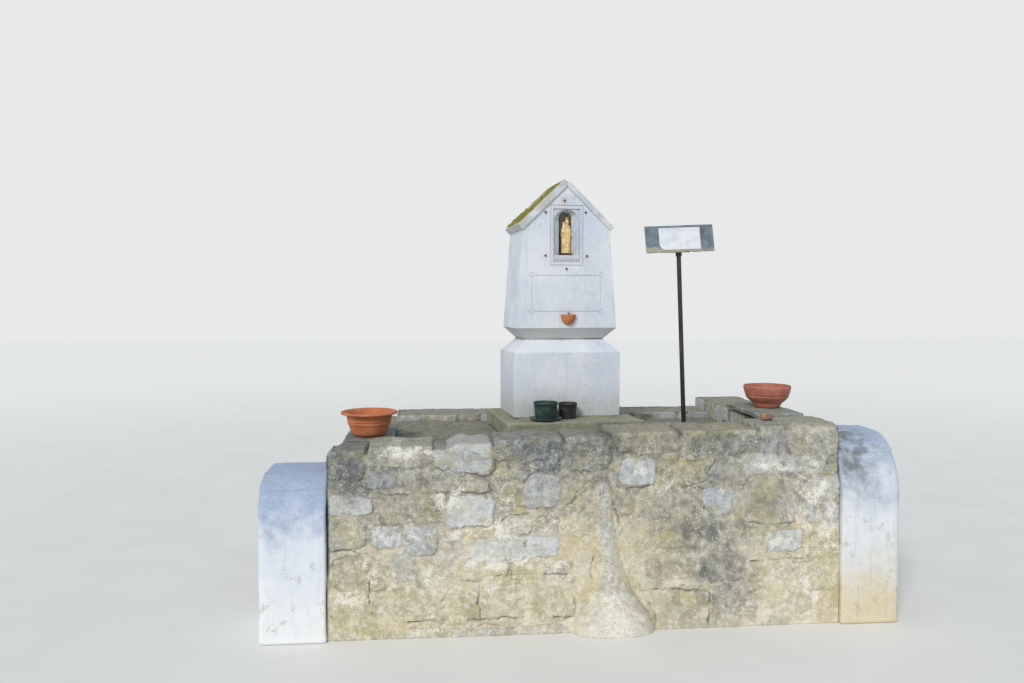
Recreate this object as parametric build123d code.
from build123d import *
import os
from math import cos, radians, sin, tan

os.makedirs("parts", exist_ok=True)

# A wayside shrine: a gabled stone stele with a niche, on a terrace of rubble masonry.
# Millimetres, +Z up, +X along the terrace's front, -Y towards the front.
# The origin is on the ground, under the middle of the whole.

# Terrace
terrace_length = 3250
terrace_depth = 1600
toe_projection = 100
front_thickness = 300
return_thickness = 300
back_thickness = 300
front_batter = 22
left_wall_height = 830
right_wall_height = 880
left_return_height = 905
right_return_height = 1014
back_wall_height = 950
hearting_height = 905

# Whitewashed end piers with rolled-over tops
left_pier_width = 330
left_pier_height = 805
left_pier_roll = 215
right_pier_width = 320
right_pier_height = 962
right_pier_roll = 290
pier_depth = 470
pier_proud = 30
pier_batter = 12
pier_edge_radius = 35

# Centre buttress, a rendered pilaster that flares to a boulder foot
buttress_top_z = 790
buttress_top_width = 110
buttress_foot_width = 430
buttress_foot_shift = 22
buttress_top_shift = -55
buttress_top_projection = 14

# Cap stones along the front wall: share of the wall's run where each ends, and its top above ground
cap_ends_and_tops = [
    (0.075, 936),
    (0.202, 957),
    (0.315, 968),
    (0.450, 982),
    (0.537, 990),
    (0.680, 1010),
    (0.836, 1014),
    (0.892, 1032),
    (1.0, 1044),
]
caps_on_left_wall_count = 5
cap_joint = 8
cap_edge_bevel = 12

# Flagstones that the bowls stand on
flag_thickness = 34
flag_edge_bevel = 8
left_flag_size = (330, 560)
left_flag_overhang = 18
right_flag_size = (330, 520)
right_flag_overhang = 10
flag_gap_behind_front = 12

# Stele
stele_x = -35
stele_y = 147
stele_turn = 6
slab_width = 780
slab_depth = 700
slab_thickness = 95
slab_front_lead = 205
pedestal_width = 622
pedestal_depth = 430
pedestal_die_height = 368
pedestal_quirk = 10
pedestal_quirk_height = 6
waist_inset = 80
pedestal_slope_height = 66
block_foot_width = 596
block_foot_depth = 372
block_splay_height = 66
block_height = 805
block_eaves_width = 512
roof_pitch = 44
left_roof_thickness = 40
right_roof_thickness = 30
roof_side_overhang = 2
ridge_wear_left = 19
ridge_wear_right = 25
roof_front_overhang = 12
roof_back_overhang = 8

# Niche
niche_width = 77
niche_height = 251
niche_crown_below_apex = 139
niche_depth = 115
jamb_step_out = 12
jamb_step_depth = 11
jamb_steps = 3
surround_width = 154
surround_above_crown = 12
surround_below_sill = 38
surround_depth = 7
outline_margin = 16
incised_width = 5
incised_depth = 4

# Incised inscription panel, left blank, between the block's foot and the surround
panel_width = 410
panel_below_surround = 75
panel_above_foot = 92
panel_corner_radius = 16

# Old iron fixings of a lost grille: sideways from the middle, and below the block's apex
pin_places = [(111, 147), (-124, 149), (119, 394), (-124, 394), (-1, 468), (-14, 82)]
pin_radius = 5
pin_hole_depth = 18
pin_proud = 7
pin_clearance = 0.3

# Statue
statue_headroom = 31
statue_foot_width = 60
statue_plinth_height = 14
statue_plinth_bevel = 3
statue_behind_front = 40
statue_shift = 6

# Wall pot on the stele
wall_pot_radius = 44
wall_pot_height = 58
wall_pot_wall = 5
wall_pot_above_foot = 19
wall_pot_shift = 10
nail_above_pot = 6
nail_radius = 2.5
nail_head_thickness = 3
nail_length = 46
nail_proud = 16
nail_clearance = 0.3

# Terracotta bowls, each drawn as radius and height from the middle of the foot, out, up and back in
left_bowl_outline = [
    (82, 0), (110, 36), (128, 104), (152, 110), (154, 122), (146, 130),
    (126, 126), (118, 100), (100, 38), (76, 9),
]
left_bowl_from_end = 175
left_bowl_from_front_wall = 162
right_bowl_outline = [
    (70, 0), (84, 36), (94, 38), (124, 66), (120, 69), (134, 110), (133, 126),
    (125, 126), (113, 70), (84, 41), (62, 9),
]
right_bowl_from_end = 156
right_bowl_from_front_wall = 295

# Plastic pots in front of the pedestal
green_pot_radius = 68
green_pot_height = 98
green_pot_shift = -154
dark_pot_radius = 54
dark_pot_height = 88
dark_pot_shift = -16
pot_foot_share = 0.85
pot_lip_height = 12
pot_lip_step = 3
plastic_wall = 2.6
pot_front_gap = 9
saucer_radius = 92
saucer_foot_radius = 78
saucer_height = 13

# A loose piece of brick on the last cap stone but one
fragment_size = (58, 44, 36)
fragment_from_cap_end = 40
fragment_behind_front = 200
fragment_turn = 20
fragment_bevel = 5

# Sign
sign_from_right_end = 563
sign_from_front_wall = 575
sign_lean_degrees = 2.3
sign_post_radius = 13.5
sign_post_wall = 2.6
sign_post_top = 1990
sign_post_embedment = 230
sign_footing_size = 200
sign_footing_depth = 280
sign_bore_clearance = 0.3
board_width = 416
board_height = 166
board_thickness = 14
board_tilt = 12
board_centre_z = 2031
label_width = 252
label_height = 136
label_thickness = 2
bracket_width = 120
bracket_height = 60
bracket_thickness = 5
bracket_plate_height = 90
bracket_plate_drop = 36

# Places that follow from those sizes
half_length = terrace_length / 2
front_y = -terrace_depth / 2 + toe_projection
back_y = terrace_depth / 2
left_end = -half_length + left_pier_width
right_end = half_length - right_pier_width
wall_split_x = left_end + (right_end - left_end) * cap_ends_and_tops[caps_on_left_wall_count - 1][0]
front_back_y = front_y + front_thickness
slab_top_z = hearting_height + slab_thickness
waist_z = pedestal_die_height + pedestal_quirk_height + pedestal_slope_height
block_foot_z = waist_z + block_splay_height
block_eaves_z = block_foot_z + block_height - (block_eaves_width / 2) * tan(radians(roof_pitch))
block_apex_z = block_foot_z + block_height
block_front_y = -block_foot_depth / 2
niche_sill_z = block_apex_z - niche_crown_below_apex - niche_height
surround_foot_z = niche_sill_z - surround_below_sill
surround_height = surround_below_sill + niche_height + surround_above_crown
panel_foot_z = block_foot_z + panel_above_foot
panel_height = surround_foot_z - panel_below_surround - panel_foot_z
nail_z = block_foot_z + wall_pot_above_foot + wall_pot_height + nail_above_pot
waist_width = pedestal_width - 2 * waist_inset
waist_depth = pedestal_depth - 2 * waist_inset
stele_place = Location((stele_x, stele_y, slab_top_z), (0, 0, stele_turn))
sign_x = right_end - sign_from_right_end
sign_y = front_back_y + sign_from_front_wall
sign_stand = Location((sign_x, sign_y, hearting_height), (0, -sign_lean_degrees, 0))


def save(name, shape):
    export_step(shape, f"parts/{name}.step")


def block(x0, x1, y0, y1, z0, z1):
    """A square-edged block between two corners."""
    return Pos((x0 + x1) / 2, (y0 + y1) / 2, (z0 + z1) / 2) * Box(x1 - x0, y1 - y0, z1 - z0)


def along_x(face, x0, x1):
    """A face drawn in Y and Z, swept from x0 to x1."""
    return extrude(Pos(x0, 0, 0) * face, x1 - x0, dir=(1, 0, 0))


def yz_face(*points):
    return make_face(Polyline([(0, y, z) for y, z in points], close=True))


def xz_face(*points):
    return make_face(Polyline([(x, 0, z) for x, z in points], close=True))


def front_face_y(z):
    """Where the battered front of the wall is at a height."""
    return front_y + front_batter * z / right_wall_height


def front_wall(x0, x1, height):
    """A run of the battered front wall, below its cap stones."""
    head_y = front_face_y(height)
    profile = yz_face((front_y, 0), (front_back_y, 0), (front_back_y, height), (head_y, height))
    return along_x(profile, x0, x1)


def cap_stones():
    """The top course, one roughly squared stone after another, that rises to the right."""
    stones = []
    run = right_end - left_end
    start = left_end
    for number, (share, top) in enumerate(cap_ends_and_tops, 1):
        end = left_end + run * share
        bed = left_wall_height if number <= caps_on_left_wall_count else right_wall_height
        stones.append((start, end, bed, top))
        start = end
    return stones


def end_pier(x0, x1, height, roll, outer_side):
    """An upright block whose front rolls over into its top, with its outer edges rounded."""
    y_foot = front_y - pier_proud
    y_spring = y_foot + pier_batter
    z_spring = height - roll
    y_rear = y_foot + pier_depth
    roll_start = (0, y_spring, z_spring)
    roll_middle = (0, y_spring + roll * (1 - cos(radians(45))), z_spring + roll * sin(radians(45)))
    roll_end = (0, y_spring + roll, height)
    outline = (
        Polyline((0, y_rear, height), (0, y_rear, 0), (0, y_foot, 0), roll_start)
        + ThreePointArc(roll_start, roll_middle, roll_end)
        + Line(roll_end, (0, y_rear, height))
    )
    pier = along_x(make_face(outline), x0, x1)
    side = x0 if outer_side < 0 else x1
    edges = [
        e
        for e in pier.edges()
        if abs(e.center().X - side) < 1 and e.bounding_box().max.Z > 1 and e.center().Y < y_rear - 1
    ]
    return fillet(edges, pier_edge_radius)


def centre_buttress():
    """A rendered pilaster, narrow above, whose foot swells out like a boulder."""
    shares = [(0, 1, 1, 0), (0.06, 0.97, 0.97, 0), (0.12, 0.84, 0.80, 0.05), (0.20, 0.62, 0.52, 0.15)]
    shares += [(0.28, 0.46, 0.34, 0.3), (0.41, 0.34, 0.22, 0.5), (0.72, 0.28, 0.10, 0.9)]
    top_projection = buttress_top_projection - front_batter
    shares.append((1, buttress_top_width / buttress_foot_width, top_projection / toe_projection, 1))
    bury = front_batter * 2
    faces = []
    for height_share, width_share, projection_share, shift_share in shares:
        half = buttress_foot_width * width_share / 2
        reach = toe_projection * projection_share
        outline = [(half, bury), (half, 0), (half * 0.84, -reach * 0.55), (half * 0.5, -reach * 0.9)]
        outline += [(0, -reach)] + [(-x, y) for x, y in reversed(outline)]
        x = wall_split_x + buttress_foot_shift + buttress_top_shift * shift_share
        place = Pos(x, front_y, buttress_top_z * height_share)
        faces.append(place * make_face(Polyline(outline, close=True)))
    return loft(faces, ruled=True)


def stele_slab():
    y0 = -pedestal_depth / 2 - slab_front_lead
    slab = block(-slab_width / 2, slab_width / 2, y0, y0 + slab_depth, -slab_thickness, 0)
    return chamfer(slab.faces().sort_by(Axis.Z)[-1].edges(), flag_edge_bevel)


def pedestal():
    """A plain die, a small quirk, and a weathered slope up to the waist."""
    half_width = pedestal_width / 2
    half_depth = pedestal_depth / 2
    die = block(-half_width, half_width, -half_depth, half_depth, 0, pedestal_die_height)
    slope_z = pedestal_die_height
    quirk = Pos(0, 0, slope_z + pedestal_quirk_height / 2) * Box(
        pedestal_width - 2 * pedestal_quirk, pedestal_depth - 2 * pedestal_quirk, pedestal_quirk_height
    )
    foot = Pos(0, 0, slope_z + pedestal_quirk_height) * Rectangle(
        pedestal_width - 2 * pedestal_quirk, pedestal_depth - 2 * pedestal_quirk
    )
    waist = Pos(0, 0, waist_z) * Rectangle(waist_width, waist_depth)
    return die + quirk + loft([foot, waist])


def arched(width, height, sill_z):
    """A niche outline in X and Z: straight sides and a half-round head."""
    springing = sill_z + height - width / 2
    outline = (
        Line((width / 2, 0, sill_z), (-width / 2, 0, sill_z))
        + Line((-width / 2, 0, sill_z), (-width / 2, 0, springing))
    )
    crown = (0, 0, springing + width / 2)
    outline += ThreePointArc((-width / 2, 0, springing), crown, (width / 2, 0, springing))
    outline += Line((width / 2, 0, springing), (width / 2, 0, sill_z))
    return make_face(outline)


def into_front(face, start, depth):
    """A cut from a face drawn in X and Z, from a distance behind the block's front and so deep."""
    return extrude(Pos(0, block_front_y + start, 0) * face, depth, dir=(0, 1, 0))


def framed(width, height, z0):
    """A rectangle in X and Z, centred on the stele's middle, with its foot at z0."""
    return xz_face((-width / 2, z0), (width / 2, z0), (width / 2, z0 + height), (-width / 2, z0 + height))


def incised_frame(width, height, z0):
    """A shallow groove round a rectangle on the block's front."""
    outer = framed(width, height, z0)
    inner = framed(width - 2 * incised_width, height - 2 * incised_width, z0 + incised_width)
    return into_front(outer, -1, incised_depth + 1) - into_front(inner, -2, incised_depth + 4)


def corner_rounds(width, height, z0):
    """The quarter-round notches at the corners of the inscription panel."""
    rounds = []
    for x in (-width / 2, width / 2):
        for z in (z0, z0 + height):
            ring = Circle(panel_corner_radius) - Circle(panel_corner_radius - incised_width)
            plane = Plane(origin=(x, block_front_y - 1, z), x_dir=(1, 0, 0), z_dir=(0, -1, 0))
            rounds.append(extrude(plane * ring, -(incised_depth + 1)))
    return rounds


def pin_hole(x, z, radius, depth):
    plane = Plane(origin=(x, block_front_y, z), x_dir=(1, 0, 0), z_dir=(0, -1, 0))
    return extrude(plane * Circle(radius), -depth)


def niche_cuts():
    """The surround, the stepped jambs and the niche itself."""
    cuts = [into_front(framed(surround_width, surround_height, surround_foot_z), -1, surround_depth + 1)]
    for step in range(jamb_steps, 0, -1):
        wider = jamb_step_out * step
        higher = surround_above_crown * step / (jamb_steps + 1)
        start = surround_depth + jamb_step_depth * (jamb_steps - step)
        jamb = arched(niche_width + 2 * wider, niche_height + higher, niche_sill_z)
        cuts.append(into_front(jamb, start, jamb_step_depth))
    cuts.append(into_front(arched(niche_width, niche_height, niche_sill_z), surround_depth, niche_depth))
    margin = outline_margin + incised_width
    cuts.append(
        incised_frame(surround_width + 2 * margin, surround_height + 2 * margin, surround_foot_z - margin)
    )
    return cuts


def stele_block():
    """The gabled upper block: tapered sides, splayed foot, stepped niche and blank panel."""
    gable = xz_face(
        (-block_foot_width / 2, block_foot_z),
        (block_foot_width / 2, block_foot_z),
        (block_eaves_width / 2, block_eaves_z),
        (0, block_apex_z),
        (-block_eaves_width / 2, block_eaves_z),
    )
    body = into_front(gable, 0, block_foot_depth)
    splay = loft(
        [
            Pos(0, 0, waist_z) * Rectangle(waist_width, waist_depth),
            Pos(0, 0, block_foot_z) * Rectangle(block_foot_width, block_foot_depth),
        ]
    )
    body = body + splay
    for cut in niche_cuts():
        body = body - cut
    body = body - incised_frame(panel_width, panel_height, panel_foot_z)
    for notch in corner_rounds(panel_width, panel_height, panel_foot_z):
        body = body - notch
    for x, below in pin_places:
        body = body - pin_hole(x, block_apex_z - below, pin_radius + pin_clearance, pin_hole_depth)
    return body - pin_hole(wall_pot_shift, nail_z, nail_radius + nail_clearance, nail_length - nail_proud)


def roof_top_z(side, x):
    """The height of a roof slope's upper face, so far sideways from the ridge."""
    thickness = left_roof_thickness if side < 0 else right_roof_thickness
    pitch = radians(roof_pitch)
    return block_apex_z + thickness / cos(pitch) - x * tan(pitch)


def roof_slab(side):
    """One roof slope, square-cut at the eaves, that meets the other under a worn ridge."""
    pitch = radians(roof_pitch)
    thickness = left_roof_thickness if side < 0 else right_roof_thickness
    eaves_x = block_eaves_width / 2 + roof_side_overhang
    under_tip = (eaves_x, block_apex_z - eaves_x * tan(pitch))
    over_tip = (under_tip[0] + thickness * sin(pitch), under_tip[1] + thickness * cos(pitch))
    wear_left_z = roof_top_z(-1, ridge_wear_left)
    wear_right_z = roof_top_z(1, ridge_wear_right)
    wear_share = ridge_wear_left / (ridge_wear_left + ridge_wear_right)
    ridge_z = wear_left_z + (wear_right_z - wear_left_z) * wear_share
    worn = (ridge_wear_left, wear_left_z) if side < 0 else (ridge_wear_right, wear_right_z)
    points = [(0, block_apex_z), under_tip, over_tip, worn, (0, ridge_z)]
    points = [(side * x, z) for x, z in points]
    depth = block_foot_depth + roof_front_overhang + roof_back_overhang
    return into_front(xz_face(*points), -roof_front_overhang, depth)


def grille_pins():
    """The stubs of the iron that once held a grille over the niche."""
    pins = []
    for x, below in pin_places:
        head = (x, block_front_y - pin_proud, block_apex_z - below)
        plane = Plane(origin=head, x_dir=(1, 0, 0), z_dir=(0, -1, 0))
        pins.append(extrude(plane * Circle(pin_radius), -(pin_proud + pin_hole_depth)))
    return Compound(children=pins)


def facets(x, y, z, half_width, half_depth):
    """A level twelve-sided outline, as a carver roughs out a round form."""
    corners = [radians(30 * side + 15) for side in range(12)]
    points = [(x + half_width * cos(a), y + half_depth * sin(a), z) for a in corners]
    return make_face(Polyline(points, close=True))


def carved(x, y, levels):
    """A form carved in flat facets, through levels of height, half width and half depth."""
    return loft([facets(x, y, z, across, through) for z, across, through in levels], ruled=True)


def statue():
    """A robed and crowned figure with a child on its arm, on a small plinth."""
    height = niche_height - statue_headroom - statue_plinth_height
    half = statue_foot_width / 2
    y = block_front_y + statue_behind_front
    plinth = block(-half, half, -half * 0.82, half * 0.82, 0, statue_plinth_height)
    plinth = chamfer(plinth.faces().sort_by(Axis.Z)[-1].edges(), statue_plinth_bevel)
    robe_shares = [(0, 0.96, 0.70), (0.10, 0.92, 0.66), (0.32, 0.88, 0.62), (0.52, 0.95, 0.66)]
    robe_shares += [(0.66, 0.92, 0.62), (0.74, 0.70, 0.48), (0.79, 0.26, 0.26)]
    robe = carved(0, 0, [(height * z, half * across, half * through) for z, across, through in robe_shares])
    head_shares = [(0.77, 0.20), (0.80, 0.40), (0.845, 0.46), (0.885, 0.38), (0.90, 0.26)]
    head = carved(0, -half * 0.08, [(height * z, half * r, half * r) for z, r in head_shares])
    crown_shares = [(0.885, 0.30), (1, 0.42)]
    crown = carved(0, -half * 0.04, [(height * z, half * r, half * r) for z, r in crown_shares])
    child_shares = [(0.50, 0.20), (0.56, 0.34), (0.66, 0.30), (0.68, 0.16), (0.71, 0.24), (0.75, 0.14)]
    child = carved(half * 0.52, -half * 0.50, [(height * z, half * r, half * r) for z, r in child_shares])
    figure = robe + head + crown + child
    plinth_place = Pos(statue_shift, y, niche_sill_z)
    return plinth_place * plinth, plinth_place * Pos(0, 0, statue_plinth_height) * figure


def turned(outline):
    """A solid turned from an outline of radius and height, closed on its axis at both ends."""
    points = [(0, 0, outline[0][1])] + [(r, 0, z) for r, z in outline] + [(0, 0, outline[-1][1])]
    return revolve(make_face(Polyline(points, close=True)), Axis.Z)


def wall_pot():
    """A half-round terracotta pocket with a flat back, open at the top."""
    radius = wall_pot_radius
    height = wall_pot_height
    inner = radius - wall_pot_wall
    shell_shares = [(0.30, 0), (0.66, 0.16), (0.92, 0.55), (1, 1)]
    shell = turned([(radius * r, height * z) for r, z in shell_shares])
    hollow_shares = [(0.28, wall_pot_wall / height), (0.64, 0.24), (0.92, 0.56), (1, 1.02)]
    hollow = turned([(inner * r, height * z) for r, z in hollow_shares])
    front_half = block(-2 * radius, 2 * radius, -2 * radius, 0, -height, 2 * height)
    open_front = block(-2 * radius, 2 * radius, -2 * radius, -wall_pot_wall, -height, 2 * height)
    pot = (shell & front_half) - (hollow & open_front)
    return Pos(wall_pot_shift, block_front_y, block_foot_z + wall_pot_above_foot) * pot


def nail():
    start = (wall_pot_shift, block_front_y - nail_proud, nail_z)
    plane = Plane(origin=start, x_dir=(1, 0, 0), z_dir=(0, -1, 0))
    shank = extrude(plane * Circle(nail_radius), -nail_length)
    head = extrude(plane * Circle(nail_radius * 2), nail_head_thickness)
    return shank + head


def plastic_pot(radius, height):
    """A tapered nursery pot with a turned-out lip."""
    foot = radius * pot_foot_share
    body = radius - pot_lip_step
    lip_z = height - pot_lip_height
    outline = [(foot, 0), (body, lip_z), (radius, lip_z), (radius, height), (radius - plastic_wall, height)]
    outline += [(body - plastic_wall, lip_z), (foot - plastic_wall, plastic_wall)]
    return turned(outline)


def saucer():
    inner = saucer_radius - plastic_wall
    inner_foot = saucer_foot_radius - plastic_wall
    outline = [(saucer_foot_radius, 0), (saucer_radius, saucer_height), (inner, saucer_height)]
    return turned(outline + [(inner_foot, plastic_wall)])


def brick_fragment():
    """A broken piece of brick, lying on the last cap stone but one."""
    width, depth, height = fragment_size
    cap_start, cap_end, cap_bed, cap_top = cap_stones()[-2]
    place = (cap_end - fragment_from_cap_end, front_y + fragment_behind_front, cap_top)
    piece = block(-width / 2, width / 2, -depth / 2, depth / 2, 0, height)
    broken = Pos(width / 2, 0, height) * Rot(0, 35, 0) * Box(width * 0.5, depth * 2, height * 0.7)
    piece = chamfer(piece.faces().sort_by(Axis.Z)[-1].edges(), fragment_bevel) - broken
    return Location(place, (0, 0, fragment_turn)) * piece


def board_plane():
    """The middle of the sign board's back, looking out along its tilted face, from the post's foot."""
    tilt = radians(board_tilt)
    return Plane(
        origin=(0, -sign_post_radius - bracket_thickness, board_centre_z - hearting_height),
        x_dir=(1, 0, 0),
        z_dir=(0, -cos(tilt), sin(tilt)),
    )


def sign_bracket(plane):
    """A cap over the post's top, with a web out to a plate on the back of the board."""
    post_top = sign_post_top - hearting_height
    cap_foot = post_top - bracket_height
    cap_height = bracket_height + bracket_thickness
    cap = Pos(0, 0, cap_foot + cap_height / 2) * Cylinder(sign_post_radius + bracket_thickness, cap_height)
    socket = Pos(0, 0, cap_foot + bracket_height / 2) * Cylinder(
        sign_post_radius + sign_bore_clearance, bracket_height
    )
    plate_face = Pos(0, -bracket_plate_drop) * Rectangle(bracket_width, bracket_plate_height)
    plate = extrude(plane * plate_face, -bracket_thickness)
    middle = -bracket_thickness / 2
    foot = plane.from_local_coords(Vector(0, -bracket_plate_drop - bracket_plate_height / 2, middle))
    head = plane.from_local_coords(Vector(0, -bracket_plate_drop + bracket_plate_height / 2, middle))
    web = yz_face((foot.Y, foot.Z), (head.Y, head.Z), (0, post_top + bracket_thickness), (0, cap_foot))
    web = along_x(web, -bracket_thickness / 2, bracket_thickness / 2)
    return cap + plate + web - socket


def build_terrace():
    left_wall = front_wall(left_end, wall_split_x, left_wall_height)
    right_wall = front_wall(wall_split_x, right_end, right_wall_height)
    save("front_wall_left", left_wall)
    save("front_wall_right", right_wall)
    for number, (x0, x1, bed, top) in enumerate(cap_stones(), 1):
        stone = block(x0 + cap_joint / 2, x1 - cap_joint / 2, front_face_y(bed), front_back_y, bed, top)
        edges = stone.faces().sort_by(Axis.Z)[-1].edges() + stone.faces().sort_by(Axis.Y)[0].edges()
        edges = [e for e in edges if e.center().Z > bed + 1]
        save(f"cap_stone_{number}", chamfer(edges, cap_edge_bevel))
    save("centre_buttress", centre_buttress() - left_wall - right_wall)
    save("left_end_pier", end_pier(-half_length, left_end, left_pier_height, left_pier_roll, -1))
    save("right_end_pier", end_pier(right_end, half_length, right_pier_height, right_pier_roll, 1))
    inner_left = left_end + return_thickness
    inner_right = right_end - return_thickness
    inner_back = back_y - back_thickness
    save("left_return_wall", block(left_end, inner_left, front_back_y, back_y, 0, left_return_height))
    save("right_return_wall", block(inner_right, right_end, front_back_y, back_y, 0, right_return_height))
    save("back_wall", block(inner_left, inner_right, inner_back, back_y, 0, back_wall_height))
    hearting = block(inner_left, inner_right, front_back_y, inner_back, 0, hearting_height)
    half = sign_footing_size / 2
    footing_foot = hearting_height - sign_footing_depth
    footing = Pos(sign_x, sign_y, 0) * block(-half, half, -half, half, footing_foot, hearting_height)
    save("hearting", hearting - footing)
    bore_length = sign_post_embedment + sign_post_radius
    bore = Cylinder(sign_post_radius + sign_bore_clearance, bore_length)
    bore = sign_stand * Pos(0, 0, bore_length / 2 - sign_post_embedment) * bore
    save("sign_footing", footing - bore)


def build_flagstones():
    width, depth = left_flag_size
    x0 = left_end - left_flag_overhang
    y0 = front_back_y + flag_gap_behind_front
    flag = block(x0, x0 + width, y0, y0 + depth, left_return_height, left_return_height + flag_thickness)
    save("left_flagstone", chamfer(flag.faces().sort_by(Axis.Z)[-1].edges(), flag_edge_bevel))
    width, depth = right_flag_size
    x1 = right_end + right_flag_overhang
    flag = block(x1 - width, x1, y0, y0 + depth, right_return_height, right_return_height + flag_thickness)
    save("right_flagstone", chamfer(flag.faces().sort_by(Axis.Z)[-1].edges(), flag_edge_bevel))
    save("brick_fragment", brick_fragment())


def build_stele():
    save("plinth_slab", stele_place * stele_slab())
    save("pedestal", stele_place * pedestal())
    save("stele_block", stele_place * stele_block())
    save("roof_slab_left", stele_place * roof_slab(-1))
    save("roof_slab_right", stele_place * roof_slab(1))
    save("grille_pins", stele_place * grille_pins())
    statue_plinth, figure = statue()
    save("statue_plinth", stele_place * statue_plinth)
    save("statue_figure", stele_place * figure)
    save("wall_pot", stele_place * wall_pot())
    save("wall_pot_nail", stele_place * nail())


def build_pots():
    left_x = left_end + left_bowl_from_end
    left_y = front_back_y + left_bowl_from_front_wall
    left = Pos(left_x, left_y, left_return_height + flag_thickness)
    save("left_bowl", left * turned(left_bowl_outline))
    right_x = right_end - right_bowl_from_end
    right_y = front_back_y + right_bowl_from_front_wall
    right = Pos(right_x, right_y, right_return_height + flag_thickness)
    save("right_bowl", right * turned(right_bowl_outline))
    green_y = -pedestal_depth / 2 - saucer_radius - pot_front_gap
    save("green_pot_saucer", stele_place * Pos(green_pot_shift, green_y, 0) * saucer())
    green_place = stele_place * Pos(green_pot_shift, green_y, plastic_wall)
    save("green_pot", green_place * plastic_pot(green_pot_radius, green_pot_height))
    dark_y = -pedestal_depth / 2 - dark_pot_radius - pot_front_gap
    dark_place = stele_place * Pos(dark_pot_shift, dark_y, 0)
    save("dark_pot", dark_place * plastic_pot(dark_pot_radius, dark_pot_height))


def build_sign():
    length = sign_post_top - hearting_height + sign_post_embedment
    tube = Cylinder(sign_post_radius, length) - Cylinder(sign_post_radius - sign_post_wall, length)
    save("sign_post", sign_stand * Pos(0, 0, length / 2 - sign_post_embedment) * tube)
    plane = board_plane()
    board = extrude(plane * Rectangle(board_width, board_height), board_thickness)
    label_face = plane.offset(board_thickness)
    label = extrude(label_face * Rectangle(label_width, label_height), label_thickness)
    save("sign_board", sign_stand * board)
    save("sign_label", sign_stand * label)
    save("sign_bracket", sign_stand * sign_bracket(plane))


build_terrace()
build_flagstones()
build_stele()
build_pots()
build_sign()
